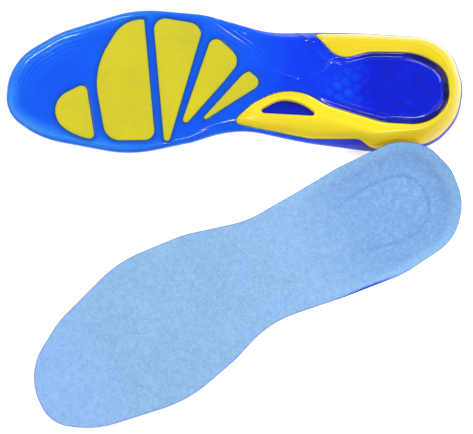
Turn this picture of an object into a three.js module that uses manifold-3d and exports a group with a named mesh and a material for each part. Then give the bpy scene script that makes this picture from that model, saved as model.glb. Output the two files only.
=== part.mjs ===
// A pair of full-length cushioned gel insoles for shoes, lying side by side: the left insole rests upside down
// on its heel-cup rim and toe, and the right insole stands on its gel side with its fabric up.
//
// Each insole is a blue gel body with a textile cover let into its top face and two kinds of yellow gel let into
// its underside: five flat cushioning pads that fan out under the ball of the foot, and one firm frame that wraps
// the heel cup, leaves a teardrop of soft blue gel under the heel bone, and runs forward to hold up the arch.
//
// Millimetres, +Z up. One insole is drawn top up in its own frame: x runs from the back of the heel to the toe,
// +y is the big-toe side, and z = 0 is the surface that it stands on. The left insole is its mirror image.

import * as THREE from "three";
import { mergeVertices } from "three/addons/utils/BufferGeometryUtils.js";
import Module from "manifold-3d";

const wasm = await Module();
wasm.setup();

// ---- Driving dimensions ----

const LENGTH = 290; // back of the heel to the tip of the toe
const BALL_WIDTH = 93.5; // across the ball of the foot

const FOREFOOT_THICKNESS = 4.4; // cover included
const HEEL_THICKNESS = 8.2; // cover included, under the heel bone
const CUP_HEIGHT = 18; // rim of the heel cup above the floor
const RIM_EDGE = 2.2; // thickness of the rim itself

const HEEL_WALL = 9; // how far in from the outline the underside becomes flat, at the heel
const ARCH_WALL = 15; // the same along the arch
const FOREFOOT_WALL = 4; // the same round the ball and toe
const WALL_CURVE = 1.7; // 1 is a straight slope, more is a rounder bowl
const DISH_WIDTH = 20; // how far in from the rim the top face becomes flat

const COVER_THICKNESS = 0.8; // textile
const COVER_LIP = 0.9; // gel left showing round the edge of the textile

const PAD_DEPTH = 1.8; // ball-of-foot pads, into the underside
const FRAME_DEPTH = 3.4; // firm frame, into the underside at the heel
const FRAME_EDGE_DEPTH = 1.6; // the same where the frame feathers out on the wall of the cup
const FRAME_RIM = 1.8; // blue gel left showing between the frame and the rim
const FRAME_TAPER = 6; // how far in from its edge the frame reaches its full depth
const HEEL_RECESS = 2; // how far the blue gel sits back inside the frame
const FRAME_OVERHANG = 1.5; // how far that recess runs in under the frame round the arch window
const FIT = 0.3; // clearance between a piece and the pocket that holds it

const PAIR_ANGLE = 28.9; // turn between the two insoles, in degrees
const HEEL_STEP_BACK = 3.17; // the right heel's place from the left heel's, in hundredths of LENGTH
const HEEL_STEP_ASIDE = 60.96; // the same across the pair, in hundredths of BALL_WIDTH

// ---- Outlines ----
// Each corner is [along, across, radius]: along and radius in hundredths of LENGTH, across in hundredths of
// BALL_WIDTH. The corners are joined by straight lines and rounded by arcs.

const OUTLINE = [
  [-0.2, -3.2, 9], [1.6, -25.7, 8], [7.1, -38.5, 10], [20.7, -41.2, 28], [42.9, -40.1, 23], [56.6, -52.9, 21],
  [71.6, -57.8, 26], [88.6, -41.7, 20], [99.7, -21.4, 12], [100.2, 15, 7.5], [92.2, 32.6, 20], [72.6, 44.9, 28],
  [59.3, 36.4, 14], [49.7, 26.2, 22], [33.6, 35.8, 21], [19.8, 41.7, 23], [6.7, 38.5, 11], [1, 18.7, 11],
];

const FOREFOOT_PADS = [
  [[80.2, 34.8, 1], [84.3, 32.1, 14], [88.1, 24.1, 5.2], [90.2, 7, 4.5], [82.4, -5.3, 1.4]],
  [[67.1, 35.3, 2.1], [77.8, 35.3, 3.8], [80.9, -14.4, 16.5], [74.3, -49.7, 12], [69.8, -49.2, 0.7]],
  [[64, 36, 0.9], [65.2, 35.8, 0.9], [67.9, -51.3, 2.4], [57.8, -45.5, 4.8], [57.2, -38.5, 2.1]],
  [[62.2, 31, 0.7], [54.7, -38.5, 1.7], [50.3, -26.2, 7.9], [48.8, -18.2, 3.1], [52.2, -4.8, 20]],
  [[58.4, 26.2, 0.4], [48.1, -9.6, 5], [46.7, -11.8, 0.7], [43.6, -3.2, 1.7], [49.1, 7.5, 1.4]],
];

// The frame's own border: round the back of the heel it runs out past the insole, where the rim trims it.
const FRAME_BORDER = [
  [50.7, 23.5, 2.1], [41, 28.9, 14], [33.5, 33.5, 8], [22.5, 35, 3], [17, 60, 0.1], [-9, 60, 0.1],
  [-9, -60, 0.1], [31.5, -60, 0.1], [33, -38, 0.4], [27.2, -18.7, 4.8], [20.5, -24.1, 9.3], [10.3, -22.5, 13],
  [4.5, -10.7, 5.5], [4, 11.2, 6.2], [8.4, 26.2, 8.6], [17.9, 24.6, 13], [30.2, 12.3, 15], [37.2, -2.7, 11],
  [45.9, 10.2, 7], [49.3, 19.8, 1.4],
];

// The bed of soft gel under the heel bone reaches in under the frame all round.
const HEEL_BED = [
  [31.5, -13.5, 2], [27.5, -24, 5], [20.5, -29, 9], [9.5, -27.5, 11], [3, -12, 7], [2.5, 13, 7], [7.5, 31, 9],
  [18.5, 29.5, 13], [31.5, 15.5, 2],
];

const ARCH_WINDOW = [[31.7, 20, 0.5], [35.3, 10.2, 10], [40, 8, 5.5], [45.6, 17, 0.6]];

// The line that the outline is gathered in to when a face is meshed, from heel to toe.
const SPINE = [[13, 1], [85.5, -4.3]];

// Rim height along the insole, as a share of the way from the forefoot up to the slope that runs straight from
// the heel-cup rim to the toe: [along, share], for the arch side and for the outer side.
const ARCH_SIDE_RIM = [[0, 1], [36, 1], [50, 0.45], [63, 0], [100, 0]];
const OUTER_SIDE_RIM = [[0, 1], [18, 1], [34, 0.5], [50, 0.1], [58, 0], [100, 0]];
const ARCH_SIDE_WALL = [[0, 0], [20, 0.2], [32, 1], [42, 0.8], [60, 0], [100, 0]];

// ---- Plan geometry ----

const along = (hundredths) => (hundredths / 100) * LENGTH;
const across = (hundredths) => (hundredths / 100) * BALL_WIDTH;
const clamp01 = (value) => Math.min(1, Math.max(0, value));
const ease = (value) => clamp01(value) ** 2 * (3 - 2 * clamp01(value));
const mix = (a, b, share) => a + (b - a) * share;

// The value at a place along the insole of a curve given by [along, value] points, eased between them.
function curveAt(points, x) {
  const place = (x / LENGTH) * 100;
  const next = points.findIndex(([at]) => at >= place);
  if (next < 0) return points[points.length - 1][1];
  if (next === 0) return points[0][1];
  const [[from, low], [to, high]] = [points[next - 1], points[next]];
  return mix(low, high, ease((place - from) / (to - from)));
}

const ARC_STEP = THREE.MathUtils.degToRad(18); // turn between two points of an arc
const LONGEST_SIDE = 20; // straight runs are divided to at most this

// A closed loop of points: the corners joined by lines and rounded by arcs that never outgrow their sides.
function roundedLoop(corners) {
  const points = corners.map(([x, y]) => new THREE.Vector2(along(x), across(y)));
  const count = points.length;
  const neighbour = (i, step) => points[(i + step + count) % count];
  const half = points.map((point, i) => {
    const back = neighbour(i, -1).clone().sub(point).normalize();
    const ahead = neighbour(i, 1).clone().sub(point).normalize();
    return Math.acos(THREE.MathUtils.clamp(back.dot(ahead), -1, 1)) / 2;
  });
  const tangent = corners.map(([, , radius], i) => along(radius) / Math.tan(half[i]));
  for (let i = 0; i < count; i++) {
    const side = points[i].distanceTo(neighbour(i, 1));
    const shrink = Math.min(1, side / (tangent[i] + tangent[(i + 1) % count]));
    tangent[i] *= shrink;
    tangent[(i + 1) % count] *= shrink;
  }
  const loop = [];
  points.forEach((point, i) => {
    const back = neighbour(i, -1).clone().sub(point).normalize();
    const ahead = neighbour(i, 1).clone().sub(point).normalize();
    const start = point.clone().addScaledVector(back, tangent[i]);
    const radius = tangent[i] * Math.tan(half[i]);
    const centre = point.clone().addScaledVector(back.clone().add(ahead).normalize(), Math.hypot(tangent[i], radius));
    const turn = (Math.PI - 2 * half[i]) * -Math.sign(back.cross(ahead));
    const steps = Math.max(1, Math.ceil(Math.abs(turn) / ARC_STEP));
    for (let k = 0; k <= steps; k++) loop.push(start.clone().rotateAround(centre, (turn * k) / steps));
  });
  const apart = loop.filter((point, i) => point.distanceTo(loop[(i + 1) % loop.length]) > FIT);
  return THREE.ShapeUtils.isClockWise(apart) ? apart.reverse() : apart;
}

// The loop with its long sides divided, for a face that follows a curve in height.
function divided(loop) {
  return loop.flatMap((point, i) => {
    const next = loop[(i + 1) % loop.length];
    const parts = Math.ceil(point.distanceTo(next) / LONGEST_SIDE);
    return Array.from({ length: parts }, (_, k) => point.clone().lerp(next, k / parts));
  });
}

// The loop moved inwards by a distance, or outwards by a negative one.
function insetLoop(loop, distance) {
  return loop.map((point, i) => {
    const before = loop[(i - 1 + loop.length) % loop.length];
    const after = loop[(i + 1) % loop.length];
    const first = point.clone().sub(before).normalize();
    const second = after.clone().sub(point).normalize();
    const inward = new THREE.Vector2(-first.y - second.y, first.x + second.x).normalize();
    const lengthening = Math.max(0.5, inward.dot(new THREE.Vector2(-first.y, first.x)));
    return point.clone().addScaledVector(inward, distance / lengthening);
  });
}

const outline = divided(roundedLoop(OUTLINE));

// What follows the rim inside it is drawn from the middles of the outline's sides, so that its own corners
// never fall on the lines that run in from the outline's corners.
const trimLine = outline.map((point, i) => point.clone().lerp(outline[(i + 1) % outline.length], 0.5));

// How far a point is in from the outline, and the place on the outline that it is nearest to.
function fromEdge(x, y) {
  const point = new THREE.Vector3(x, y, 0);
  const side = new THREE.Line3();
  const nearest = new THREE.Vector3();
  const best = { distance: Infinity, x, y };
  outline.forEach((start, i) => {
    const end = outline[(i + 1) % outline.length];
    side.start.set(start.x, start.y, 0);
    side.end.set(end.x, end.y, 0);
    side.closestPointToPoint(point, true, nearest);
    const distance = nearest.distanceTo(point);
    if (distance < best.distance) Object.assign(best, { distance, x: nearest.x, y: nearest.y });
  });
  return best;
}

// ---- Heights ----

const spineStart = new THREE.Vector2(along(SPINE[0][0]), across(SPINE[0][1]));
const spineEnd = new THREE.Vector2(along(SPINE[1][0]), across(SPINE[1][1]));
const isArchSide = (edge) => edge.y > mix(spineStart.y, spineEnd.y, edge.x / LENGTH);

// Top of the rim at a place on the outline.
function rimTop(edge) {
  const slope = mix(CUP_HEIGHT, FOREFOOT_THICKNESS, edge.x / LENGTH);
  const arch = curveAt(ARCH_SIDE_RIM, edge.x);
  const outer = curveAt(OUTER_SIDE_RIM, edge.x);
  return mix(FOREFOOT_THICKNESS, slope, isArchSide(edge) ? arch : outer);
}

function wallWidth(edge) {
  const plain = mix(HEEL_WALL, FOREFOOT_WALL, ease((edge.x / LENGTH - 0.3) / 0.3));
  return isArchSide(edge) ? mix(plain, ARCH_WALL, curveAt(ARCH_SIDE_WALL, edge.x)) : plain;
}

// Height of the underside.
function underside(x, y) {
  const edge = fromEdge(x, y);
  const slope = clamp01(1 - edge.distance / wallWidth(edge));
  return (rimTop(edge) - RIM_EDGE) * slope ** WALL_CURVE;
}

// Height of the top face, cover included.
function topFace(x, y) {
  const edge = fromEdge(x, y);
  const floor = mix(HEEL_THICKNESS, FOREFOOT_THICKNESS, ease((x / LENGTH - 0.25) / 0.4));
  const level = Math.min(floor, rimTop(edge));
  return mix(level, rimTop(edge), clamp01(1 - edge.distance / DISH_WIDTH) ** 2);
}

// How deep the frame goes in above the underside.
function frameDepth(x, y) {
  const { distance } = fromEdge(x, y);
  return mix(FRAME_EDGE_DEPTH, FRAME_DEPTH, ease((distance - FRAME_RIM) / FRAME_TAPER));
}

// ---- Solids ----

const RING_INSETS = [0, 2, 4.5, 8, 13, 21]; // of a meshed face, in from its loop
const REACH = 40; // how far a cutting prism runs past the insole, above and below

function solidOf(geometry) {
  geometry.deleteAttribute("normal");
  geometry.deleteAttribute("uv");
  const merged = mergeVertices(geometry, 1e-4);
  return new wasm.Manifold(
    new wasm.Mesh({
      numProp: 3,
      vertProperties: merged.attributes.position.array,
      triVerts: new Uint32Array(merged.index.array),
    }),
  );
}

// The main body of a solid, without the slivers that two nearly matching cuts can leave.
function largest(solid) {
  return solid.decompose().reduce((best, body) => (body.volume() > best.volume() ? body : best));
}

function geometryOf(solid) {
  const { vertProperties, triVerts } = solid.getMesh();
  const geometry = new THREE.BufferGeometry();
  geometry.setAttribute("position", new THREE.BufferAttribute(new Float32Array(vertProperties), 3));
  geometry.setIndex(new THREE.BufferAttribute(new Uint32Array(triVerts), 1));
  geometry.computeVertexNormals();
  return geometry;
}

// The layer inside a loop, between two height functions of (x, y). Each face is a set of rings, close together
// at the edge where it curves most, round a middle that is triangulated as it is. A loop that starts some way in
// from the outline keeps the rings where the outline has them, so that faces that lie on each other match.
function layer(loop, low, high, start = 0) {
  const axis = spineEnd.clone().sub(spineStart);
  const count = loop.length;
  const insets = RING_INSETS.map((inset) => Math.max(0, inset - start));
  const plan = insets.flatMap((inset) =>
    loop.map((point) => {
      const share = clamp01(point.clone().sub(spineStart).dot(axis) / axis.lengthSq());
      const target = spineStart.clone().addScaledVector(axis, share);
      const reach = point.distanceTo(target);
      return point.clone().lerp(target, Math.min(inset, 0.8 * reach * (inset / insets.at(-1))) / reach);
    }),
  );
  const faces = [];
  for (let ring = 0; ring < RING_INSETS.length - 1; ring++) {
    for (let i = 0; i < count; i++) {
      const [a, b] = [ring * count + i, ring * count + ((i + 1) % count)];
      faces.push([a, b, b + count], [a, b + count, a + count]);
    }
  }
  const middle = (RING_INSETS.length - 1) * count;
  const inner = plan.slice(middle);
  THREE.ShapeUtils.triangulateShape(inner, []).forEach((face) => faces.push(face.map((v) => v + middle)));

  const positions = [];
  [high, low].forEach((height) => plan.forEach(({ x, y }) => positions.push(x, y, height(x, y))));
  const indices = faces.flat();
  faces.forEach(([a, b, c]) => indices.push(a + plan.length, c + plan.length, b + plan.length));
  for (let i = 0; i < count; i++) {
    const next = (i + 1) % count;
    indices.push(i, i + plan.length, next + plan.length, i, next + plan.length, next);
  }
  const geometry = new THREE.BufferGeometry();
  geometry.setAttribute("position", new THREE.Float32BufferAttribute(positions, 3));
  geometry.setIndex(indices);
  return solidOf(geometry);
}

function prism(loop) {
  const geometry = new THREE.ExtrudeGeometry(new THREE.Shape(loop), { depth: 2 * REACH, bevelEnabled: false });
  return solidOf(geometry.translate(0, 0, -REACH));
}

// The layer of the underside between two depths, over the whole outline.
const undersideLayer = (from, to) => layer(outline, from, to);

const below = (x, y) => underside(x, y) - REACH;
const padLayer = undersideLayer(underside, (x, y) => underside(x, y) + PAD_DEPTH);
const padPocketLayer = undersideLayer(below, (x, y) => underside(x, y) + PAD_DEPTH + FIT);
const frameLayer = undersideLayer(underside, (x, y) => underside(x, y) + frameDepth(x, y));
const framePocketLayer = undersideLayer(below, (x, y) => underside(x, y) + frameDepth(x, y) + FIT);
const recessLayer = undersideLayer(below, (x, y) => underside(x, y) + HEEL_RECESS);

// ---- Pieces of one insole, top up ----

const padLoops = FOREFOOT_PADS.map(roundedLoop);
const frameLoop = roundedLoop(FRAME_BORDER);
const windowLoop = roundedLoop(ARCH_WINDOW);

function forefootPad(loop) {
  return prism(loop).intersect(padLayer);
}

function heelFrame() {
  return prism(frameLoop)
    .intersect(prism(insetLoop(trimLine, FRAME_RIM)))
    .subtract(prism(windowLoop))
    .intersect(frameLayer);
}

function fabricCover() {
  const start = COVER_LIP + FIT;
  return layer(insetLoop(trimLine, start), (x, y) => topFace(x, y) - COVER_THICKNESS, topFace, start);
}

// Inside the frame the blue gel sits back, both under the heel bone and in the arch window.
function heelHollow() {
  const window = prism(insetLoop(windowLoop, -FRAME_OVERHANG));
  return prism(roundedLoop(HEEL_BED)).add(window).intersect(recessLayer);
}

function gelBody() {
  let body = layer(outline, underside, topFace);
  const trayFloor = (x, y) => topFace(x, y) - COVER_THICKNESS - FIT;
  const coverTray = layer(insetLoop(trimLine, COVER_LIP), trayFloor, () => REACH, COVER_LIP);
  body = body.subtract(coverTray);
  padLoops.forEach((loop) => {
    body = body.subtract(prism(insetLoop(loop, -FIT)).intersect(padPocketLayer));
  });
  const framePocket = prism(insetLoop(frameLoop, -FIT))
    .intersect(prism(insetLoop(trimLine, FRAME_RIM - FIT)))
    .subtract(prism(insetLoop(windowLoop, FIT)))
    .intersect(framePocketLayer);
  return largest(body.subtract(framePocket).subtract(heelHollow()));
}

const material = (color, roughness) => new THREE.MeshStandardMaterial({ color, roughness, metalness: 0 });
const BLUE_GEL = material("#1660f0", 0.22);
const PAD_GEL = material("#d0c935", 0.35);
const FRAME_GEL = material("#e9d63c", 0.2);
const TEXTILE = material("#8cb8ec", 0.95);

const pieces = [
  ["gel_body", gelBody(), BLUE_GEL],
  ["fabric_cover", fabricCover(), TEXTILE],
  ["heel_frame", heelFrame(), FRAME_GEL],
  ...padLoops.map((loop, i) => ["forefoot_pad_" + (i + 1), forefootPad(loop), PAD_GEL]),
];

function insole(side) {
  const group = new THREE.Group();
  pieces.forEach(([name, solid, finish]) => {
    const mesh = new THREE.Mesh(geometryOf(solid), finish);
    mesh.name = side + "_" + name;
    group.add(mesh);
  });
  return group;
}

// ---- The pair ----

// Upside down, the left insole tips until the heel-cup rim and the toe both touch the floor.
function leftInsole() {
  const tip = Math.atan2(CUP_HEIGHT - FOREFOOT_THICKNESS, LENGTH);
  const mirrored = insole("left");
  mirrored.scale.y = -1;
  const turned = new THREE.Group().add(mirrored);
  turned.rotation.y = Math.PI - tip;
  return turned;
}

function rightInsole() {
  const group = insole("right");
  group.rotation.z = Math.PI + THREE.MathUtils.degToRad(PAIR_ANGLE);
  group.position.set(-along(HEEL_STEP_BACK), -across(HEEL_STEP_ASIDE), 0);
  return group;
}

// Sets a group down on z = 0.
function grounded(group) {
  const holder = new THREE.Group().add(group);
  holder.position.z = -new THREE.Box3().setFromObject(holder, true).min.z;
  return holder;
}

const pair = new THREE.Group().add(grounded(leftInsole()), grounded(rightInsole()));
const middle = new THREE.Box3().setFromObject(pair, true).getCenter(new THREE.Vector3());
pair.position.set(-middle.x, -middle.y, 0);

export default pair;
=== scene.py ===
import math

import bmesh
import bpy
import numpy as np
from mathutils import Matrix, Vector


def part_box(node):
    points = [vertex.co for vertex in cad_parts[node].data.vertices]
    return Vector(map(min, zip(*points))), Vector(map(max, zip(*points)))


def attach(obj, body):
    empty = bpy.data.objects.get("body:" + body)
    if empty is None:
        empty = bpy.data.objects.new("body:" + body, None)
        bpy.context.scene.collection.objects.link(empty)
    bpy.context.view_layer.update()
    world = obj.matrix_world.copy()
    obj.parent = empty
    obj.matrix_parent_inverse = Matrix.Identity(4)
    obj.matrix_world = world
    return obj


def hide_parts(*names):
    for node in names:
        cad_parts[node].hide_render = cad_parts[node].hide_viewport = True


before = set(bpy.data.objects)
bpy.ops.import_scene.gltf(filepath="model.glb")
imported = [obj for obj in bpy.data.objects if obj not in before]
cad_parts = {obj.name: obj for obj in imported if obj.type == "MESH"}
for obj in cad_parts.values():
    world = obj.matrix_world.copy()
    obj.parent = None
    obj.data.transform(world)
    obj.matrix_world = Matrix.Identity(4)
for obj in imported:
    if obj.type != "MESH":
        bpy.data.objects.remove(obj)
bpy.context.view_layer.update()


# ---- Camera, floor and lights ----
# The pair lies on a white table between two large softboxes, with narrow strip lights behind it and in
# front, and is looked at from nearly straight above.

CAMERA_ELEVATION = math.radians(79.8)
CAMERA_DISTANCE = 0.900
CAMERA_TARGET = Vector((0.0011, -0.0012, 0))
SENSOR_WIDTH = 36
CAMERA_LENS = 109.1
SKY_BRIGHTNESS = 0.22
TABLE_GLOW = 0.5

scene = bpy.context.scene
camera = bpy.data.objects.new("camera", bpy.data.cameras.new("camera"))
scene.collection.objects.link(camera)
scene.camera = camera
towards_camera = Vector((0, -math.cos(CAMERA_ELEVATION), math.sin(CAMERA_ELEVATION)))
camera.location = CAMERA_TARGET + towards_camera * CAMERA_DISTANCE
camera.rotation_euler = towards_camera.to_track_quat("Z", "Y").to_euler()
camera.data.sensor_width = SENSOR_WIDTH
camera.data.lens = CAMERA_LENS
scene.view_settings.view_transform = "Standard"


def softbox(name, place, size, power):
    """A rectangular lamp aimed at the middle of the table. Lengths are in metres."""
    lamp = bpy.data.lights.new(name, "AREA")
    lamp.shape = "RECTANGLE"
    lamp.size, lamp.size_y = size
    lamp.energy = power
    light = bpy.data.objects.new(name, lamp)
    light.location = place
    light.rotation_euler = Vector(place).to_track_quat("Z", "Y").to_euler()
    scene.collection.objects.link(light)


white_table = bpy.data.materials.new("white table")
white_table.use_nodes = True
table_shader = white_table.node_tree.nodes["Principled BSDF"]
table_shader.inputs["Base Color"].default_value = (0.85, 0.85, 0.85, 1)
table_shader.inputs["Roughness"].default_value = 0.9
table_shader.inputs["Emission Color"].default_value = (1, 1, 1, 1)
table_shader.inputs["Emission Strength"].default_value = TABLE_GLOW
floor_mesh = bmesh.new()
bmesh.ops.create_grid(floor_mesh, x_segments=1, y_segments=1, size=4)
floor_data = bpy.data.meshes.new("floor")
floor_mesh.to_mesh(floor_data)
floor_mesh.free()
floor_data.materials.append(white_table)
floor = bpy.data.objects.new("floor", floor_data)
floor.location.z = -0.0005
scene.collection.objects.link(floor)

world = bpy.data.worlds.new("studio")
scene.world = world
world.use_nodes = True
world.node_tree.nodes["Background"].inputs["Color"].default_value = (1, 1, 1, 1)
world.node_tree.nodes["Background"].inputs["Strength"].default_value = SKY_BRIGHTNESS
softbox("left softbox", (-1.3, -0.3, 1.1), (1.6, 2.0), 9)
softbox("right softbox", (1.3, -0.3, 1.1), (1.6, 2.0), 7)
softbox("left back strip", (-0.55, 0.9, 1.0), (0.5, 0.12), 5)
softbox("right back strip", (0.62, 0.85, 1.0), (0.9, 0.12), 9.5)
softbox("front strip", (0.3, -0.66, 1.2), (0.6, 0.12), 5.5)


# ---- Gel body ----
# One insole's blue gel, moulded to the outline of the foot with a raised heel cup and arch. It carries the
# textile on top, and underneath it has pockets for the yellow pads and the frame, which are poured into it.

MM = 0.001
LENGTH = 290
BALL_WIDTH = 93.5
FOREFOOT_THICKNESS = 4.4
HEEL_THICKNESS = 8.2
CUP_HEIGHT = 18
RIM_EDGE = 2.2
HEEL_WALL = 9
ARCH_WALL = 15
FOREFOOT_WALL = 4
WALL_CURVE = 1.7
DISH_WIDTH = 20
COVER_THICKNESS = 0.8
PAIR_ANGLE = math.radians(28.9)

# Corners of an outline: along in hundredths of the length, across in hundredths of the width at the ball,
# and the radius that rounds the corner, in hundredths of the length. The big toe's side is positive.
OUTLINE = [
    (-0.2, -3.2, 9), (1.6, -25.7, 8), (7.1, -38.5, 10), (20.7, -41.2, 28), (42.9, -40.1, 23),
    (56.6, -52.9, 21), (71.6, -57.8, 26), (88.6, -41.7, 20), (99.7, -21.4, 12), (100.2, 15, 7.5),
    (92.2, 32.6, 20), (72.6, 44.9, 28), (59.3, 36.4, 14), (49.7, 26.2, 22), (33.6, 35.8, 21),
    (19.8, 41.7, 23), (6.7, 38.5, 11), (1, 18.7, 11),
]
HUNDREDTHS = np.array([LENGTH / 100, BALL_WIDTH / 100])


def turned(vector, angle):
    """The vector turned anticlockwise by the angle."""
    cos, sin = math.cos(angle), math.sin(angle)
    return np.array([cos * vector[0] - sin * vector[1], sin * vector[0] + cos * vector[1]])


def even_loop(path, spacing):
    """The closed path again, anticlockwise and with its points evenly spaced."""
    x, y = path.T
    if np.dot(x, np.roll(y, -1)) < np.dot(y, np.roll(x, -1)):
        path = path[::-1]
    closed = np.vstack([path, path[:1]])
    run = np.concatenate([[0], np.cumsum(np.linalg.norm(np.diff(closed, axis=0), axis=1))])
    places = np.linspace(0, run[-1], int(run[-1] / spacing), endpoint=False)
    return np.column_stack([np.interp(places, run, closed[:, axis]) for axis in (0, 1)])


def rounded_loop(corners, spacing):
    """The corners joined by lines and rounded by arcs, as points about that far apart, in millimetres."""
    points = np.array([corner[:2] for corner in corners]) * HUNDREDTHS
    radii = np.array([corner[2] for corner in corners]) * HUNDREDTHS[0]
    back = np.roll(points, 1, 0) - points
    ahead = np.roll(points, -1, 0) - points
    sides = np.linalg.norm(ahead, axis=1)
    back /= np.linalg.norm(back, axis=1)[:, None]
    ahead /= sides[:, None]
    half = np.arccos(np.clip((back * ahead).sum(1), -1, 1)) / 2
    reach = radii / np.tan(half)
    for i in range(len(points)):
        following = (i + 1) % len(points)
        shrink = min(1, sides[i] / (reach[i] + reach[following]))
        reach[i] *= shrink
        reach[following] *= shrink
    arc_steps = 12
    path = []
    for i, point in enumerate(points):
        radius = reach[i] * math.tan(half[i])
        bisector = (back[i] + ahead[i]) / np.linalg.norm(back[i] + ahead[i])
        centre = point + bisector * math.hypot(reach[i], radius)
        start = point + back[i] * reach[i] - centre
        crossed = back[i][0] * ahead[i][1] - back[i][1] * ahead[i][0]
        turn = -math.copysign(math.pi - 2 * half[i], crossed)
        path += [centre + turned(start, turn * step / arc_steps) for step in range(arc_steps + 1)]
    return even_loop(np.array(path), spacing)


def inward_of(loop):
    """For each point of an anticlockwise loop, the direction square to it that points in."""
    ahead = np.roll(loop, -1, 0) - np.roll(loop, 1, 0)
    inward = np.column_stack([-ahead[:, 1], ahead[:, 0]])
    return inward / np.linalg.norm(inward, axis=1)[:, None]


def nearest(points, loop, closed=True):
    """For each point, its distance to the loop and the nearest place on it."""
    starts = loop if closed else loop[:-1]
    ends = np.roll(loop, -1, 0) if closed else loop[1:]
    along = ends - starts
    lengths = (along**2).sum(1)
    distance = np.empty(len(points))
    place = np.empty((len(points), 2))
    batch = 2000
    for first in range(0, len(points), batch):
        some = points[first : first + batch]
        away = some[:, None] - starts
        share = np.clip((away * along).sum(2) / lengths, 0, 1)
        foot = starts + share[..., None] * along
        gaps = np.linalg.norm(some[:, None] - foot, axis=2)
        best = gaps.argmin(1)
        rows = np.arange(len(some))
        distance[first : first + batch] = gaps[rows, best]
        place[first : first + batch] = foot[rows, best]
    return distance, place


def inside(points, loop):
    """True for the points that the loop goes round."""
    result = np.zeros(len(points), bool)
    for (x0, y0), (x1, y1) in zip(loop, np.roll(loop, -1, 0)):
        if y0 == y1:
            continue
        spans = (points[:, 1] >= min(y0, y1)) & (points[:, 1] < max(y0, y1))
        crossing = x0 + (points[:, 1] - y0) / (y1 - y0) * (x1 - x0)
        result ^= spans & (points[:, 0] < crossing)
    return result


def depth_inside(points, loop, margin=8):
    """How far each point is in from the loop, and negative outside it, down to minus the margin."""
    near = ((points > loop.min(0) - margin) & (points < loop.max(0) + margin)).all(1)
    distance, _ = nearest(points[near], loop)
    depth = np.full(len(points), -float(margin))
    depth[near] = np.where(inside(points[near], loop), distance, -np.minimum(distance, margin))
    return depth


def ease(value):
    """0 below 0 and 1 above 1, with a smooth rise between them."""
    value = np.clip(value, 0, 1)
    return value**2 * (3 - 2 * value)


def rise(value, start, end):
    """0 before the start and 1 past the end, eased. The end may be the smaller number."""
    return ease((value - start) / (end - start))


def band(value, middle, width):
    """1 in the middle of a band, fading to 0 on both sides of it."""
    return np.exp(-(((value - middle) / width) ** 2))


def mix(low, high, share):
    """From low to high by that share."""
    return low + (high - low) * share


def curve_at(stops, x):
    """The eased curve through stops of (hundredths along, value)."""
    place = np.asarray(x) / HUNDREDTHS[0]
    result = np.full(place.shape, float(stops[0][1]))
    for (start, low), (end, high) in zip(stops, stops[1:]):
        result = np.where(place > start, mix(low, high, rise(place, start, end)), result)
    return result


outline = rounded_loop(OUTLINE, 1.13)
# The line down the middle that the meshes close in on, and how far short of it they stop.
SPINE = np.array([(13, 1), (85.5, -4.3)]) * HUNDREDTHS
END_GAP = 0.25
# How far up the rim goes on each side, from the forefoot's thickness to the full cup, and how much the
# arch side's wall widens: (hundredths along, share).
ARCH_SIDE_RIM = [(0, 1), (36, 1), (50, 0.45), (63, 0), (100, 0)]
OUTER_SIDE_RIM = [(0, 1), (18, 1), (34, 0.5), (50, 0.1), (58, 0), (100, 0)]
ARCH_SIDE_WALL = [(0, 0), (20, 0.2), (32, 1), (42, 0.8), (60, 0), (100, 0)]
# The shapes of the two sides blend into each other over this width, across the middle.
SIDE_BLEND = 24


class Places:
    """Points on one insole, with what the heights and colours depend on."""

    def __init__(self, points):
        self.points = points
        self.x, self.y = points.T
        self.along = self.x / HUNDREDTHS[0]
        self.edge, rim = nearest(points, outline)
        self.arch_side = rim[:, 1] > mix(SPINE[0, 1], SPINE[1, 1], rim[:, 0] / LENGTH)
        slope = mix(CUP_HEIGHT, FOREFOOT_THICKNESS, rim[:, 0] / LENGTH)
        middle = mix(SPINE[0, 1], SPINE[1, 1], self.x / LENGTH)
        side = ease((self.y - middle) / SIDE_BLEND + 0.5)
        share = mix(curve_at(OUTER_SIDE_RIM, rim[:, 0]), curve_at(ARCH_SIDE_RIM, rim[:, 0]), side)
        self.rim_top = mix(FOREFOOT_THICKNESS, slope, share)
        plain = mix(HEEL_WALL, FOREFOOT_WALL, rise(rim[:, 0] / LENGTH, 0.3, 0.6))
        wide = mix(plain, ARCH_WALL, curve_at(ARCH_SIDE_WALL, rim[:, 0]))
        self.wall = mix(plain, wide, side)

    def underside(self):
        """The height of the plain underside, which curves up to the rim."""
        slope = np.clip(1 - self.edge / self.wall, 0, 1)
        return (self.rim_top - RIM_EDGE) * slope**WALL_CURVE

    def top_face(self):
        """The height of the face that the foot stands on, which is dished at the rim."""
        floor_level = mix(HEEL_THICKNESS, FOREFOOT_THICKNESS, rise(self.x / LENGTH, 0.25, 0.65))
        level = np.minimum(floor_level, self.rim_top)
        return mix(level, self.rim_top, np.clip(1 - self.edge / DISH_WIDTH, 0, 1) ** 2)


def spokes(loop, spine, insets, steps):
    """Rings of points from the loop in to just short of the spine: first at those distances in, which may
    differ from point to point, and then in even steps straight to the nearest place on the spine."""
    inward = inward_of(loop)
    rings = [loop + inward * np.broadcast_to(inset, len(loop))[:, None] for inset in insets]
    start = rings[-1]
    reach, target = nearest(start, spine, closed=False)
    target = target + (start - target) * np.minimum(END_GAP / reach, 0.5)[:, None]
    return np.array(rings + [mix(start, target, step / steps) for step in range(1, steps + 1)])


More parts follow.
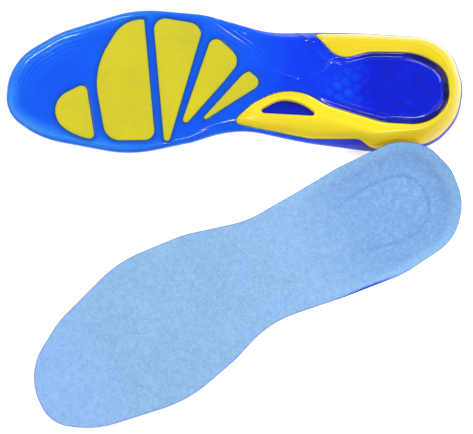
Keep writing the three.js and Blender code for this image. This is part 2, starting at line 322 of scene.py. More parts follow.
def fill_across(shell, ring, start, end):
    """Fills a long thin ring of vertices with triangles straight across it, from its start to its end."""
    count = len(ring)
    sides = []
    for way in (1, -1):
        steps = range(way * (end - start) % count + 1)
        sides.append([ring[(start + way * step) % count] for step in steps])
    reached = [np.cumsum([0] + [(b.co - a.co).length for a, b in zip(side, side[1:])]) for side in sides]
    here = [0, 0]
    while here[0] < len(sides[0]) - 1 or here[1] < len(sides[1]) - 1:
        ahead = [
            run[step + 1] / run[-1] if step < len(run) - 1 else math.inf
            for run, step in zip(reached, here)
        ]
        mover = ahead.index(min(ahead))
        corners = [sides[0][here[0]], sides[1][here[1]], sides[mover][here[mover] + 1]]
        if len(set(corners)) == 3:
            shell.faces.new(corners)
        here[mover] += 1


def closed_shell(name, rings, spine=None):
    """A closed mesh from a stack of rings (ring, spoke, xyz) in millimetres, with its two ends filled. An
    end that closes in on the spine is filled straight across it."""
    ring_count, spoke_count, _ = rings.shape
    shell = bmesh.new()
    bmesh.ops.create_grid(shell, x_segments=spoke_count, y_segments=ring_count - 1, size=1)
    for vert in shell.verts:
        spoke = round((vert.co.x + 1) / 2 * spoke_count) % spoke_count
        ring = round((vert.co.y + 1) / 2 * (ring_count - 1))
        vert.co = rings[ring, spoke] * MM
    seam = [vert for vert in shell.verts if vert.is_boundary]
    bmesh.ops.remove_doubles(shell, verts=seam, dist=1e-8)
    for ring in (rings[0], rings[-1]):
        if spine is None or nearest(ring[:, :2], spine, closed=False)[0].max() > 2 * END_GAP:
            continue
        at = {tuple(vert.co): vert for vert in shell.verts if vert.is_boundary}
        verts = [at[tuple(Vector(point * MM))] for point in ring]
        tips = []
        for tip_point, before in ((spine[0], spine[1]), (spine[-1], spine[-2])):
            near_tip = np.linalg.norm(ring[:, :2] - tip_point, axis=1) < 1.5 * END_GAP
            tips.append(np.where(near_tip, ring[:, :2] @ (tip_point - before), -np.inf).argmax())
        fill_across(shell, verts, *tips)
    bmesh.ops.holes_fill(shell, edges=[edge for edge in shell.edges if edge.is_boundary])
    bmesh.ops.triangulate(shell, faces=[face for face in shell.faces if len(face.verts) > 4])
    bmesh.ops.recalc_face_normals(shell, faces=shell.faces)
    mesh = bpy.data.meshes.new(name)
    shell.to_mesh(mesh)
    shell.free()
    mesh.shade_smooth()
    return mesh


SHARPEST_SMOOTH = math.radians(38)


def cut(mesh, *cutters):
    """The mesh with the cutters' space taken out of it."""
    blank = bpy.data.objects.new(mesh.name, mesh)
    scene.collection.objects.link(blank)
    tools = [bpy.data.objects.new(cutter.name, cutter) for cutter in cutters]
    for tool in tools:
        scene.collection.objects.link(tool)
        difference = blank.modifiers.new("cut", "BOOLEAN")
        difference.operation = "DIFFERENCE"
        difference.solver = "MANIFOLD"
        difference.object = tool
    result = bpy.data.meshes.new_from_object(blank.evaluated_get(bpy.context.evaluated_depsgraph_get()))
    for used in [blank] + tools:
        bpy.data.objects.remove(used)
    result.shade_smooth()
    result.set_sharp_from_angle(angle=SHARPEST_SMOOTH)
    return result


def pocket_cutter(name, loop, spine, depth, lip, steps):
    """What a pocket takes out of the underside: the loop's shape to that depth, opening out at its lip."""
    wider = [loop - inward_of(loop) * gap for gap in (FIT + lip, FIT + lip, FIT + lip * 0.35, FIT)]
    rings = [np.column_stack([wider[0], np.full(len(loop), -REACH)])]
    for ring, level in zip(wider[1:], (-0.02, lip * 0.3, lip)):
        rings.append(np.column_stack([ring, Places(ring).underside() + level]))
    floor_rings = spokes(wider[-1], spine, [0], steps)
    floor_level = Places(floor_rings.reshape(-1, 2)).underside().reshape(floor_rings.shape[:2]) + depth
    floor = np.dstack([floor_rings, floor_level])
    return closed_shell(name, np.concatenate([np.array(rings), floor]), spine)


def set_shades(mesh, shades):
    """Stores values for each vertex of a mesh, for its material to read."""
    for name, values in shades.items():
        stored = mesh.attributes.new(name, "FLOAT", "POINT")
        stored.data.foreach_set("value", np.clip(values, 0, 1).astype("f"))


def places_of(mesh):
    """A mesh's vertices as places on the insole, and their heights."""
    corners = np.empty(len(mesh.vertices) * 3, "f")
    mesh.vertices.foreach_get("co", corners)
    corners = corners.reshape(-1, 3).astype(float) / MM
    return Places(corners[:, :2]), corners[:, 2]


# Where each insole lies. The left one is the right one's mirror image turned upside down, tipped so that its
# heel-cup rim and its toe both touch the table.
tip = math.atan2(CUP_HEIGHT - FOREFOOT_THICKNESS, LENGTH)
turns = {
    "left": Matrix.Rotation(math.pi - tip, 4, "Y") @ Matrix.Scale(-1, 4, (0, 1, 0)),
    "right": Matrix.Rotation(math.pi + PAIR_ANGLE, 4, "Z"),
}
places = {}


def lay(side, mesh):
    """A copy of a piece's mesh, moved from the insole's own frame to where that insole lies."""
    mesh = mesh.copy()
    mesh.transform(turns[side])
    if side not in places:
        low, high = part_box(side + "_gel_body")
        corners = np.array([vert.co for vert in mesh.vertices])
        shift = (Vector(low) + Vector(high)) / 2 - Vector((corners.min(0) + corners.max(0)) / 2)
        shift.z = low[2] - corners[:, 2].min()
        places[side] = Matrix.Translation(shift)
    mesh.transform(places[side])
    if turns[side].determinant() < 0:
        mesh.flip_normals()
    return mesh


def add_piece(side, part, mesh, material, node_name):
    """Puts that side's copy of a piece in the scene, riding on its insole in place of its CAD node."""
    piece = bpy.data.objects.new(side + "_" + part, lay(side, mesh))
    piece.data.materials.clear()
    piece.data.materials.append(material)
    scene.collection.objects.link(piece)
    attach(piece, side + "_insole")
    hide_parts(side + "_" + node_name)
    return piece


# The yellow pieces' outlines, in the same units as the insole's own.
PADS = [
    [(80.2, 34.8, 1), (84.3, 32.1, 14), (88.1, 24.1, 5.2), (90.2, 7, 4.5), (82.4, -5.3, 1.4)],
    [(67.1, 35.3, 2.1), (77.8, 35.3, 3.8), (80.9, -14.4, 16.5), (74.3, -49.7, 12), (69.8, -49.2, 0.7)],
    [(64, 36, 0.9), (65.2, 35.8, 0.9), (67.9, -51.3, 2.4), (57.8, -45.5, 4.8), (57.2, -38.5, 2.1)],
    [(62.2, 31, 0.7), (54.7, -38.5, 1.7), (50.3, -26.2, 7.9), (48.8, -18.2, 3.1), (52.2, -4.8, 20)],
    [(58.4, 26.2, 0.4), (48.1, -9.6, 5), (46.7, -11.8, 0.7), (43.6, -3.2, 1.7), (49.1, 7.5, 1.4)],
]
ARCH_WINDOW = [(31.7, 20, 0.5), (35.3, 10.2, 10), (40, 8, 5.5), (45.6, 17, 0.6)]
# The frame, from its outer arm round the heel to the tip under the arch, and back outside the rim.
FRAME = [
    (32.8, -39, 0.3), (27.2, -18.7, 4.8), (20.5, -24.1, 9.3), (9.9, -23.2, 13), (3.9, -10.7, 5.5),
    (3.4, 11.6, 6.2), (8, 26.9, 8.6), (17.9, 24.8, 13), (30.2, 12.3, 15), (37.2, -2.7, 11),
    (45.9, 10.2, 7), (49.3, 19.8, 1.4), (50.7, 23.5, 2.1), (41, 28.9, 14), (33.5, 33.5, 8),
    (22.5, 35, 3), (17.5, 50, 0.1), (-9, 60, 0.1), (-9, -60, 0.1), (31.8, -60, 0.1),
]
FRAME_SPINE = np.array([
    (29, -31), (20, -33), (11, -30.5), (4.8, -23.5), (2.2, -9), (2, 9), (5, 25), (11, 31.5), (18, 32),
    (26, 26), (33, 19), (41, 19), (47.5, 21),
]) * HUNDREDTHS
# The sunken bed under the heel, the shallow panel under the arch, and the line its flow marks run along.
HEEL_BED = [
    (27.2, -18.7, 4.8), (20.5, -24.1, 9.3), (9.9, -23.2, 13), (3.9, -10.7, 5.5), (3.4, 11.6, 6.2),
    (8, 26.9, 8.6), (17.9, 24.8, 13), (30.2, 12.3, 15), (37.2, -2.7, 4), (32, -10, 6),
]
ARCH_PANEL = [(57.5, -49, 3), (42, -12.5, 4), (34.3, -4.5, 2.5), (29.4, -18, 1.4), (41, -54, 2)]
FLOW_LINES = np.array([(56.4, -47.5), (40.9, -12.3)]) * HUNDREDTHS
FRAME_RIM = 1.0
FRAME_DEPTH = 2.6
PAD_DEPTH = 1.8
FIT = 0.12
PAD_POCKET_LIP = 0.55
FRAME_POCKET_LIP = 0.3
REACH = 30
BED_LEDGE = 0.35
BED_DEPTH = 2.0
BED_WALL = 3.3
BED_REACH = 4
CELL_PITCH = 7.3
CELL_HEIGHT = 0.11
WEB_DEPTH = 0.28
PANEL_DEPTH = 0.3
RIDGE_HEIGHT = 0.42
RIDGE_WIDTH = 1.1
SEAM_DEPTH = 0.25
SPECK_HEIGHT = 0.1
WRINKLE_HEIGHT = 0.17


def frame_loop(rim, spacing):
    """The frame's outline. Round the heel it stops that far short of the insole's rim."""
    border = rounded_loop(FRAME, spacing)
    depth, _ = nearest(border, outline)
    border = border[inside(border, outline) & (depth >= rim)]
    gap_at = np.linalg.norm(border - np.roll(border, 1, 0), axis=1).argmax()
    border = np.roll(border, -gap_at, 0)
    trimmed = outline + inward_of(outline) * rim
    start = np.linalg.norm(trimmed - border[-1], axis=1).argmin()
    end = np.linalg.norm(trimmed - border[0], axis=1).argmin()
    back_of_heel = trimmed[:, 0].argmin()
    count = len(trimmed)
    step = 1 if (back_of_heel - start) % count < (end - start) % count else -1
    along = start + step * np.arange((end - start) * step % count + 1)
    joins = border[[0, -1]]
    loop = even_loop(np.vstack([border, trimmed[along % count]]), spacing)
    near_join = band(np.min([np.linalg.norm(loop - join, axis=1) for join in joins], axis=0), 0, 5)
    smoothings = 40
    for _ in range(smoothings):
        smoother = (np.roll(loop, 1, 0) + np.roll(loop, -1, 0)) / 2
        loop = mix(loop, smoother, 0.5 * near_join[:, None])
    return even_loop(loop, spacing)


def honeycomb(x, y):
    """1 in the middle of a cell and 0 on the joins between the six-sided cells."""
    row_step = CELL_PITCH * math.sqrt(3) / 2
    best = np.full(x.shape, np.inf)
    second = np.full(x.shape, np.inf)
    column = np.round(x / row_step)
    for shift in (-1, 0, 1):
        centre_x = (column + shift) * row_step
        offset = np.mod(column + shift, 2) * CELL_PITCH / 2
        row = np.round((y - offset) / CELL_PITCH)
        for step in (-1, 0, 1):
            gap = np.hypot(x - centre_x, y - (row + step) * CELL_PITCH - offset)
            second = np.minimum(second, np.maximum(gap, best))
            best = np.minimum(best, gap)
    return ease((second - best) / (CELL_PITCH * 0.45))


pad_loops = [rounded_loop(corners, 0.6) for corners in PADS]
frame_edge = frame_loop(FRAME_RIM, 0.8)
window_loop = rounded_loop(ARCH_WINDOW, 0.6)
bed_loop = rounded_loop(HEEL_BED, 1)
wide_bed_loop = bed_loop - inward_of(bed_loop) * BED_REACH
panel_loop = rounded_loop(ARCH_PANEL, 1)


class GelFace(Places):
    """Places on the underside of the blue gel, with how far they are from each thing moulded in it."""

    def __init__(self, points):
        super().__init__(points)
        self.in_pads = np.max([depth_inside(points, loop) for loop in pad_loops], axis=0)
        self.in_panel = depth_inside(points, panel_loop)
        self.off_frame = -depth_inside(points, frame_edge)
        self.in_bed = depth_inside(points, wide_bed_loop)
        self.from_wall = np.maximum(self.off_frame, 0)
        # The bed fades out at its neck, where it opens on to the arch.
        self.neck = rise(self.along, 34.5, 26)
        self.bed = self.neck * rise(self.in_bed, 0, BED_REACH)
        within = rise(self.from_wall, 5.4, 6.9) * rise(self.in_bed - BED_REACH, 3.5, 6.5)
        uneven = 0.65 + 0.35 * np.sin(self.x * 0.43 + 2) * np.sin(self.y * 0.5)
        cells = honeycomb(self.x - 4 + 0.7 * np.sin(self.y / 3), self.y + 0.7 * np.sin(self.x / 4))
        self.cell = cells * within * uneven
        # Flow lines run beside the panel, and ripples run round the outer side of the toe.
        length = np.linalg.norm(FLOW_LINES[1] - FLOW_LINES[0])
        ahead = (FLOW_LINES[1] - FLOW_LINES[0]) / length
        run = (points - FLOW_LINES[0]) @ ahead
        across = (points - FLOW_LINES[0]) @ np.array([ahead[1], -ahead[0]])
        flow = rise(run, -6, 6) * rise(run, length + 8, length - 14) * band(across, -2, 8)
        self.flow = flow * (1 + np.sin(across * 2.35 + 0.6 * np.sin(across)))
        toe = rise(self.along, 79, 86) * rise(self.y, 10, -12)
        toe = toe * rise(self.edge, 21, 15) * rise(self.edge, 1, 3)
        self.ripple = toe * (1 + np.sin(self.edge * 2.3 + 0.5 * np.sin(self.x / 4)))

    def sunk(self):
        """How far the moulded details lie in from the plain underside."""
        webs = WEB_DEPTH * rise(self.in_pads, -1.9, -0.3) * (self.in_pads > -2.5)
        wall = BED_LEDGE + (BED_DEPTH - BED_LEDGE) * ease(self.from_wall / BED_WALL)
        step_up = 0.45 * rise(self.from_wall, 3.7, 5)
        step_down = 0.3 * rise(self.from_wall, 5.2, 6.4)
        bed = self.bed * (wall - step_up + step_down) - CELL_HEIGHT * self.cell * mix(0.5, 1, self.neck)
        return webs + bed + self.panel() + self.seam() + self.specks() - self.waves()

    def panel(self):
        """The shallow panel under the arch. A ridge of uneven height runs round the heel end of it."""
        flicker = np.sin(self.x * 1.3 + 2 * np.sin(self.y * 0.9))
        ridge = np.maximum(1 - np.abs(self.in_panel + RIDGE_WIDTH) / RIDGE_WIDTH, 0)
        ridge = ridge * (RIDGE_HEIGHT + 0.08 * flicker) * rise(self.along, 44, 38)
        panel = PANEL_DEPTH * rise(self.in_panel, 0, 1.5) - ridge
        return panel * rise(self.along, 27, 30) * rise(self.along, 52, 42)

    def seam(self):
        """The step down to the thinner border beside the arch."""
        seam = SEAM_DEPTH * rise(self.edge, 5.4, 4.5) * self.arch_side
        return seam * rise(self.along, 45, 49) * rise(self.along, 68, 60)

    def specks(self):
        """A patch of fine dimples in the bed, and wrinkles at the neck's corner and on the outer wall."""
        dimples = np.sin(self.x * 4.3) * np.sin(self.y * 4.7)
        dimpled = band(np.hypot(self.x - 25.5, self.y - 12.3), 0, 2.2)
        wrinkles = np.sin(self.x * 1.9 + np.sin(self.y)) * np.sin(self.y * 2.1 + np.sin(self.x))
        neck_corner = band(self.x, 81, 7) * band(self.y, -18, 5)
        outer_wall = 0.7 * band(self.from_wall, 1.8, 1.3) * rise(self.y, 0, -12) * rise(self.along, 6, 10)
        wrinkled = np.maximum(neck_corner, outer_wall * self.bed)
        return SPECK_HEIGHT * dimples * dimpled + WRINKLE_HEIGHT * wrinkles * wrinkled

    def waves(self):
        """How high the flow lines and the ripples stand. Both are highest a little way in from the rim."""
        flow_height = 0.14 + 0.08 * band(self.edge, 9, 6)
        ripple_height = 0.07 + 0.04 * band(self.edge, 5, 3)
        return flow_height * self.flow + ripple_height * self.ripple

    def depth_and_shade(self):
        """How dark the blue looks, from 0 in thin gel at a rim to 1 in the wall round the heel bed. Thick
        gel is deeper blue, and painted shade darkens the bed's wall and the flange beside the frame.
        """
        forward = rise(self.along, 26, 60)
        toe_end = rise(self.along, 60, 75)
        depth = mix(0.6, 0.33, forward) - 0.05 * (self.flow + self.ripple - 1)
        depth = depth - toe_end * rise(self.edge, 12, 1) * np.where(self.arch_side, 0.36, 0.28)
        depth = depth - 0.12 * rise(self.edge, 7, 1) * (1 - toe_end) * (self.along > 32)
        heel = self.bed * rise(self.along, 27, 18) * rise(self.from_wall, 3.4, 5)
        depth = depth + 0.15 * heel
        # Painted shade: the steep wall down into the heel bed is taken to near-black indigo, over the deeper
        # blue of the thick gel there.
        dark_end = np.where(self.y > 0, 31, 25.5)
        wall = self.bed * rise(self.from_wall, 4.1, 3.1) * ease((dark_end - self.along) / 6)
        depth = mix(depth, mix(0.88, 1, rise(self.along, 15, 7)), wall * (self.off_frame > -1))
        bright = band(self.along, 26.5, 3.6) * band(self.y, 0, 11)
        depth = depth - (0.035 * self.neck + 0.19 * bright) * self.cell
        # Painted shade: the flange between the frame and the rim on the arch side slopes away from the
        # light, so it is painted darker towards the heel.
        beside_frame = (self.off_frame > -1) & self.arch_side & (self.edge < 11)
        flange = beside_frame & (self.along < 48) & (self.in_bed < 0)
        depth = np.where(flange, mix(0.74, 0.22, rise(self.along, 22, 42)), depth)
        rim = (self.edge < 1.3) & (self.off_frame > 0)
        depth = np.where(rim, mix(0.66, 0.25, forward), depth)
        window = depth_inside(self.points, window_loop) > -1
        return np.where(window, 0.8, depth)

    def web(self):
        """1 on the narrow webs between the pads."""
        return rise(self.in_pads, -3.6, -0.4) * (self.in_pads < 0.6)


EDGE_ROUNDING = 0.9
COVER_FIT = 0.05
UNDER_STEPS = 100
TOP_STEPS = 14
# Gel showing round the edge of the textile: a thin line, but a wider band along the back of the arch.
lip_width = 0.14 + 0.7 * band(outline[:, 0], 80, 16) * (outline[:, 1] > 0)
quarter_turn = np.linspace(0, math.pi / 2, 5)
rounding_insets = list(1 - np.sin(quarter_turn)[::-1])
under_insets = [EDGE_ROUNDING * inset for inset in rounding_insets] + [1.4, 1.9, 2.5]
top_insets = [0, 0.03, 0.07, lip_width - 0.03, lip_width, lip_width + 0.9, lip_width + 2.2]

under_rings = spokes(outline, SPINE, under_insets, UNDER_STEPS)
top_rings = spokes(outline, SPINE, top_insets, TOP_STEPS)
count = len(outline)
face = GelFace(under_rings.reshape(-1, 2))
under_height = (face.underside() + face.sunk()).reshape(-1, count)
rounded = len(quarter_turn)
away = EDGE_ROUNDING - np.array(under_insets[:rounded])
under_height[:rounded] += (EDGE_ROUNDING - np.sqrt(np.maximum(EDGE_ROUNDING**2 - away**2, 0)))[:, None]
top_height = Places(top_rings.reshape(-1, 2)).top_face().reshape(-1, count)
# The rim's corner is rounded, and inside the lip the gel is sunk to take the textile.
top_height[0] -= 0.25
top_height[1] -= 0.06
top_height[4:] -= COVER_THICKNESS + COVER_FIT
gel_blank = closed_shell("gel body", np.concatenate([
    np.dstack([top_rings, top_height])[::-1],
    np.dstack([under_rings, under_height]),
]), SPINE)


def pad_spine(loop):
    """The middle line of a pad, from near its wide end to near its narrow one."""
    centre = loop.mean(0)
    axis = np.linalg.svd(loop - centre)[2][0]
    run = (loop - centre) @ axis
    return np.array([centre + axis * run.min() * 0.7, centre + axis * run.max() * 0.7])


pockets = [
    pocket_cutter("pad pocket", loop, pad_spine(loop), PAD_DEPTH + FIT, PAD_POCKET_LIP, 6)
    for loop in pad_loops
]
frame_pocket = pocket_cutter("frame pocket", frame_edge, FRAME_SPINE, FRAME_DEPTH + FIT, FRAME_POCKET_LIP, 8)
gel_mesh = cut(gel_blank, *pockets, frame_pocket)
gel_places, gel_height = places_of(gel_mesh)
gel_face = GelFace(gel_places.points)
# The underside and the floors of its pockets all lie within this height of the plain underside.
UNDERSIDE_REACH = 4
LIP_DEEPNESS = 0.12
on_underside = gel_height < gel_face.underside() + UNDERSIDE_REACH
set_shades(gel_mesh, {
    "depth_and_shade": np.where(on_underside, gel_face.depth_and_shade(), LIP_DEEPNESS),
    "web": gel_face.web() * on_underside,
})


def node(tree, kind, **inputs):
    """Adds a shader node and sets or joins its inputs: a socket is joined, and anything else is a value."""
    made = tree.nodes.new("ShaderNode" + kind)
    for key, value in inputs.items():
        connect(tree, made.inputs[key.replace("_", " ")], value)
    return made


def connect(tree, socket, value):
    """Joins an output to the socket, or sets the socket to a plain value."""
    if isinstance(value, bpy.types.NodeSocket):
        tree.links.new(value, socket)
    else:
        socket.default_value = value


def calculate(tree, operation, first, second):
    """The output of a maths node."""
    made = tree.nodes.new("ShaderNodeMath")
    made.operation = operation
    connect(tree, made.inputs[0], first)
    connect(tree, made.inputs[1], second)
    return made.outputs[0]


def blend(tree, factor, first, second):
    """From the first colour to the second one."""
    made = tree.nodes.new("ShaderNodeMix")
    made.data_type = "RGBA"
    connect(tree, made.inputs["Factor"], factor)
    connect(tree, made.inputs[6], first)
    connect(tree, made.inputs[7], second)
    return made.outputs[2]


def ramp(tree, factor, stops):
    """A colour ramp through stops of (place, colour)."""
    made = tree.nodes.new("ShaderNodeValToRGB")
    elements = made.color_ramp.elements
    while len(elements) < len(stops):
        elements.new(0.5)
    for element, (place, colour) in zip(elements, stops):
        element.position = place
        element.color = colour
    tree.links.new(factor, made.inputs["Fac"])
    return made.outputs["Color"]


def shade(tree, name):
    """A value stored with the piece's mesh."""
    made = tree.nodes.new("ShaderNodeAttribute")
    made.attribute_name = name
    return made.outputs["Fac"]


def tint(tree, colour, name, strength, towards):
    """The colour, taken that share of the way towards another one where the stored value is 1."""
    return blend(tree, calculate(tree, "MULTIPLY", shade(tree, name), strength), colour, towards)


def srgb(red, green, blue):
    """A colour as a screen shows it, 0 to 255, as the linear colour that shaders use."""
    parts = [part / 255 for part in (red, green, blue)]
    return tuple(part / 12.92 if part < 0.04 else ((part + 0.055) / 1.055) ** 2.4 for part in parts) + (1,)


def new_group(name, inputs, outputs):
    """An empty node group with those inputs, each with its usual value, and outputs."""
    group = bpy.data.node_groups.new(name, "ShaderNodeTree")
    for label, usual in inputs.items():
        given = group.interface.new_socket(label, in_out="INPUT", socket_type="NodeSocketFloat")
        given.default_value = usual
    for label, kind in outputs.items():
        group.interface.new_socket(label, in_out="OUTPUT", socket_type=kind)
    return group, group.nodes.new("NodeGroupInput").outputs, group.nodes.new("NodeGroupOutput").inputs


def use_group(tree, group, **inputs):
    """Adds a node group and sets its inputs."""
    made = tree.nodes.new("ShaderNodeGroup")
    made.node_tree = group
    for key, value in inputs.items():
        connect(tree, made.inputs[key.replace("_", " ")], value)
    return made


def per_millimetre(tree, size):
    """The scale of a pattern whose marks are that many millimetres across."""
    return calculate(tree, "DIVIDE", 1 / MM, size)


# Soft cloudiness inside a poured gel or a dyed cloth: 0 to 1, half on average.
cloud_inputs = {"Size": 20.0, "Contrast": 1.0}
cloudiness, given, gives = new_group("cloudiness", cloud_inputs, {"Amount": "NodeSocketFloat"})
position = cloudiness.nodes.new("ShaderNodeTexCoord").outputs["Object"]
scale = per_millimetre(cloudiness, given["Size"])
cloud = node(cloudiness, "TexNoise", Vector=position, Scale=scale, Detail=4.0)
spread = calculate(cloudiness, "SUBTRACT", cloud.outputs["Fac"], 0.5)
spread = calculate(cloudiness, "MULTIPLY", spread, given["Contrast"])
cloudiness.links.new(calculate(cloudiness, "ADD", spread, 0.5), gives["Amount"])

# The waviness and fine pitting of a surface that has come out of a mould.
moulding_inputs = {"Wave Size": 9.0, "Wave Height": 0.05, "Pit Size": 0.8, "Pit Height": 0.004}
moulded_surface, given, gives = new_group("moulded surface", moulding_inputs, {"Height": "NodeSocketFloat"})
position = moulded_surface.nodes.new("ShaderNodeTexCoord").outputs["Object"]
heights = []
for kind in ("Wave", "Pit"):
    scale = per_millimetre(moulded_surface, given[kind + " Size"])
    noise = node(moulded_surface, "TexNoise", Vector=position, Scale=scale, Detail=2.0)
    heights.append(calculate(moulded_surface, "MULTIPLY", noise.outputs["Fac"], given[kind + " Height"]))
moulded_surface.links.new(calculate(moulded_surface, "ADD", *heights), gives["Height"])


def new_finish(name, roughness, specular, **moulding):
    """A material with that roughness, its node tree and its shader. Its surface is as it left the mould."""
    material = bpy.data.materials.new(name)
    material.use_nodes = True
    tree = material.node_tree
    shader = tree.nodes["Principled BSDF"]
    shader.inputs["Roughness"].default_value = roughness
    shader.inputs["Specular IOR Level"].default_value = specular
    height = use_group(tree, moulded_surface, **moulding).outputs["Height"]
    bump = node(tree, "Bump", Strength=1.0, Distance=MM, Height=height)
    tree.links.new(bump.outputs["Normal"], shader.inputs["Normal"])
    return material, tree, shader


blue_gel, tree, shader = new_finish("blue gel", 0.1, 0.42, Wave_Size=3.5, Wave_Height=0.07, Pit_Size=0.9,
                                    Pit_Height=0.006)
clouds = use_group(tree, cloudiness, Size=24.0, Contrast=0.22).outputs["Amount"]
streaks = use_group(tree, cloudiness, Size=3.5, Contrast=0.1).outputs["Amount"]
depth = calculate(tree, "ADD", shade(tree, "depth_and_shade"), calculate(tree, "SUBTRACT", clouds, 0.5))
depth = calculate(tree, "ADD", depth, calculate(tree, "SUBTRACT", streaks, 0.5))
# The dark end of the ramp also serves as painted shade on the heel bed's wall and on the flange beside the
# frame.
colour = ramp(tree, depth, [
    (0.0, srgb(46, 134, 238)), (0.28, srgb(14, 96, 233)), (0.46, srgb(6, 78, 233)),
    (0.6, srgb(3, 58, 228)), (0.76, srgb(4, 26, 205)), (0.87, srgb(6, 30, 150)), (1.0, srgb(20, 8, 80)),
])
colour = blend(tree, shade(tree, "web"), colour, srgb(8, 78, 188))
tree.links.new(colour, shader.inputs["Base Color"])

gel_bodies = {side: add_piece(side, "gel", gel_mesh, blue_gel, "gel_body") for side in turns}


# ---- Ball-of-foot pads ----
# Five flat pads of softer yellow gel, poured into their pockets under the ball of the foot. They are level
# with the blue gel round them, with a fine groove where the two meet.

PAD_ROUNDING = 0.4
PAD_CROWN = 0.12
PAD_STEPS = 16
PAD_EDGE_FADE = 1.6
CROWN_REACH = 4


def plate_mesh(name, loop, spine, rounding, depth, crown, steps):
    """A plate let into the underside: that deep, with a rounded edge and a slightly crowned face."""
    insets = [rounding * inset for inset in rounding_insets]
    rings = spokes(loop, spine, insets, steps)
    spot = Places(rings.reshape(-1, 2))
    level = spot.underside()
    into, _ = nearest(spot.points, loop)
    from_round = np.maximum(rounding - into, 0)
    edge_drop = rounding - np.sqrt(np.maximum(rounding**2 - from_round**2, 0))
    face = (level + edge_drop - crown * ease(into / CROWN_REACH)).reshape(rings.shape[:2])
    back = (level + depth).reshape(rings.shape[:2])
    behind = np.dstack([rings, back])[[-1, len(insets), 0]]
    return closed_shell(name, np.concatenate([behind, np.dstack([rings, face])]), spine)


def set_edge_shades(mesh, loop, fade):
    """Stores how near each vertex is to the piece's edge: 1 at the edge, 0 that far in."""
    spot, _ = places_of(mesh)
    set_shades(mesh, {"edge": 1 - nearest(spot.points, loop)[0] / fade})


soft_yellow, tree, shader = new_finish("soft yellow gel", 0.38, 0.3, Wave_Size=10.0, Wave_Height=0.05,
                                       Pit_Size=0.7, Pit_Height=0.006)
clouds = use_group(tree, cloudiness, Size=26.0, Contrast=1.6).outputs["Amount"]
mottle = use_group(tree, cloudiness, Size=4.0, Contrast=0.5).outputs["Amount"]
clouds = calculate(tree, "ADD", clouds, calculate(tree, "SUBTRACT", mottle, 0.5))
colour = ramp(tree, clouds, [(0.2, srgb(195, 188, 38)), (0.8, srgb(209, 197, 28))])
colour = tint(tree, colour, "edge", 0.45, srgb(150, 178, 60))
tree.links.new(colour, shader.inputs["Base Color"])

for number, loop in enumerate(pad_loops, start=1):
    pad_mesh = plate_mesh(
        f"pad {number}", loop, pad_spine(loop), PAD_ROUNDING, PAD_DEPTH, PAD_CROWN, PAD_STEPS,
    )
    set_edge_shades(pad_mesh, loop, PAD_EDGE_FADE)
    for side in turns:
        add_piece(side, f"pad_{number}", pad_mesh, soft_yellow, f"forefoot_pad_{number}")


# ---- Heel frame ----
# A firm, glossy yellow gel that wraps the heel cup and runs forward under the arch, poured in one piece into
# its pocket in the blue gel. The blue shows through its lens-shaped window.

FRAME_ROUNDING = 1.2
FRAME_CROWN = 0.5
FRAME_STEPS = 30

frame_blank = plate_mesh(
    "frame", frame_edge, FRAME_SPINE, FRAME_ROUNDING, FRAME_DEPTH, FRAME_CROWN, FRAME_STEPS,
)
# The window's cutter: how far out from the window each ring is, and its level below the underside.
window_walls = []
for gap, level in ((0.7, None), (0.55, -FRAME_CROWN - 0.05), (0.15, 0.1), (0, 0.5), (0, REACH)):
    ring = window_loop - inward_of(window_loop) * gap
    height = np.full(len(ring), -REACH) if level is None else Places(ring).underside() + level
    window_walls.append(np.column_stack([ring, height]))
frame_mesh = cut(frame_blank, closed_shell("window", np.array(window_walls)))
frame_spot, _ = places_of(frame_mesh)
from_border, _ = nearest(frame_spot.points, frame_edge)
inner_side = np.abs(depth_inside(frame_spot.points, bed_loop)) < 3
# Olive near the frame's border on the arch side: partly the blue showing through thin yellow gel, partly
# painted shade and painted reflection of the blue where the wall curves away from the light.
thin_arch_and_shade = rise(from_border, 5.5, 0.5) * frame_spot.arch_side * ~inner_side
thin_arch_and_shade = thin_arch_and_shade * rise(frame_spot.edge, 1, 4) * rise(frame_spot.along, 10, 20)
# Painted highlight: a pale whitish band along the frame's outer edge round the heel.
heel_highlight = rise(frame_spot.edge, 3.6, 1.2) * rise(frame_spot.along, 26, 12)
set_shades(frame_mesh, {
    "blue through and painted shade": thin_arch_and_shade,
    "painted heel highlight": heel_highlight,
    "painted arch light": frame_spot.arch_side * rise(frame_spot.along, 6, 18),
})

firm_yellow, tree, shader = new_finish("firm yellow gel", 0.16, 0.4, Wave_Size=12.0, Wave_Height=0.09,
                                       Pit_Size=1.2, Pit_Height=0.003)
clouds = use_group(tree, cloudiness, Size=30.0, Contrast=1.5).outputs["Amount"]
colour = ramp(tree, clouds, [(0.25, srgb(224, 200, 32)), (0.75, srgb(235, 211, 46))])
# Painted light: the arch side of the frame is lightened, where its slope turns it away from the lamps.
colour = tint(tree, colour, "painted arch light", 0.85, srgb(250, 226, 44))
# Olive on the arch side: blue showing through, with painted shade and painted reflection.
colour = tint(tree, colour, "blue through and painted shade", 0.25, srgb(150, 150, 30))
# Painted highlight along the heel's outer edge.
colour = tint(tree, colour, "painted heel highlight", 0.25, srgb(248, 238, 190))
tree.links.new(colour, shader.inputs["Base Color"])

for side in turns:
    add_piece(side, "frame", frame_mesh, firm_yellow, "heel_frame")


# ---- Textile cover ----
# A light blue short-nap textile bonded over the whole top face, cut to the outline. The mould has pressed it
# in inside an oval round the heel.

COVER_EDGE_ROUNDING = 0.35
COVER_STEPS = 80
OVAL_DEPTH = 0.16
OVAL_GROOVE = 0.06
RIM_GROOVE = 0.1
HEEL_OVAL = [
    (6.4, -3, 9), (8, -18, 6), (16, -22, 20), (34, -17, 10), (34, 8, 10), (22, 17.5, 25), (12.5, 23, 7),
    (6.8, 13, 7),
]
oval_loop = rounded_loop(HEEL_OVAL, 1)

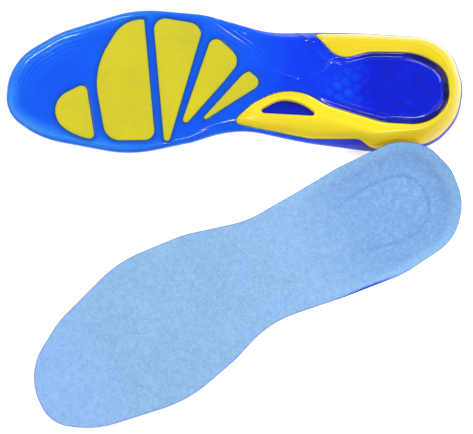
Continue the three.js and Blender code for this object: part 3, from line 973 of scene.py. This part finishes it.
cover_loop = outline + inward_of(outline) * (lip_width + COVER_FIT)[:, None]
cover_insets = [0, 0.12, 0.35, 0.9, 1.6, 2.5]
cover_rings = spokes(cover_loop, SPINE, cover_insets, COVER_STEPS)
spot = Places(cover_rings.reshape(-1, 2))
from_round = np.maximum(COVER_EDGE_ROUNDING - nearest(spot.points, cover_loop)[0], 0)
edge_drop = COVER_EDGE_ROUNDING - np.sqrt(np.maximum(COVER_EDGE_ROUNDING**2 - from_round**2, 0))
round_heel = rise(spot.along, 27, 18)
in_oval = depth_inside(spot.points, oval_loop)
pressed = round_heel * (OVAL_DEPTH * rise(in_oval, -0.8, 1.2) + OVAL_GROOVE * band(in_oval, 1.2, 0.8))
pressed = pressed + RIM_GROOVE * round_heel * band(spot.edge, 9, 1.5)
top = (spot.top_face() - edge_drop - pressed).reshape(cover_rings.shape[:2])
under = (spot.top_face() - COVER_THICKNESS).reshape(cover_rings.shape[:2])
behind = [-1, 60, 40, 20, 6, 0]
cover_mesh = closed_shell("cover", np.concatenate([
    np.dstack([cover_rings, under])[behind],
    np.dstack([cover_rings, top]),
]), SPINE)
spot, _ = places_of(cover_mesh)
set_shades(cover_mesh, {
    # Darker over the heel: partly the cloth's own tone, partly painted shade in the heel cup.
    "heel": rise(spot.along, 40, 18) * rise(spot.edge, 3, 9),
    "toe": rise(spot.along, 80, 92),
    "rim": rise(spot.edge, 5.5, 1.5) * rise(spot.along, 42, 28),
    # Painted shade along the groove of the pressed oval.
    "oval": rise(spot.along, 30, 18) * band(depth_inside(spot.points, oval_loop), 0, 1.2),
    "arch rim": band(spot.x, 80, 15) * rise(spot.edge, 2.6, 1) * (spot.y > 0),
})

textile = bpy.data.materials.new("textile")
textile.use_nodes = True
tree = textile.node_tree
shader = tree.nodes["Principled BSDF"]
clouds = use_group(tree, cloudiness, Size=22.0, Contrast=1.2).outputs["Amount"]
colour = ramp(tree, clouds, [
    (0.1, srgb(133, 175, 219)), (0.5, srgb(138, 180, 224)), (0.9, srgb(143, 184, 230)),
])
colour = tint(tree, colour, "toe", 0.7, srgb(142, 182, 237))
# The heel is darkened: partly the cloth's own tone, partly painted shade in the cup.
colour = tint(tree, colour, "heel", 0.8, srgb(114, 157, 214))
colour = tint(tree, colour, "rim", 0.8, srgb(137, 192, 240))
# Painted shade along the pressed oval's groove.
colour = tint(tree, colour, "oval", 0.5, srgb(92, 134, 196))
colour = tint(tree, colour, "arch rim", 0.8, srgb(70, 122, 216))
# Darker and paler fibres of the nap, fine ones and then coarser ones.
for size, contrast in ((1.3, 1.5), (3.2, 0.8)):
    nap = use_group(tree, cloudiness, Size=size, Contrast=contrast).outputs["Amount"]
    for more, less, fibre in ((nap, 0.5, srgb(100, 140, 196)), (0.5, nap, srgb(180, 212, 250))):
        fibres = calculate(tree, "MAXIMUM", calculate(tree, "SUBTRACT", more, less), 0)
        colour = blend(tree, calculate(tree, "MULTIPLY", fibres, 0.9), colour, fibre)
tree.links.new(colour, shader.inputs["Base Color"])
shader.inputs["Roughness"].default_value = 0.95
shader.inputs["Specular IOR Level"].default_value = 0.2
shader.inputs["Sheen Weight"].default_value = 0.15
shader.inputs["Sheen Roughness"].default_value = 0.5
fibres = use_group(tree, moulded_surface, Wave_Size=2.2, Wave_Height=0.12, Pit_Size=0.45, Pit_Height=0.22)
bump = node(tree, "Bump", Strength=0.8, Distance=MM, Height=fibres.outputs["Height"])
tree.links.new(bump.outputs["Normal"], shader.inputs["Normal"])

for side in turns:
    cover = add_piece(side, "cover", cover_mesh, textile, "fabric_cover")
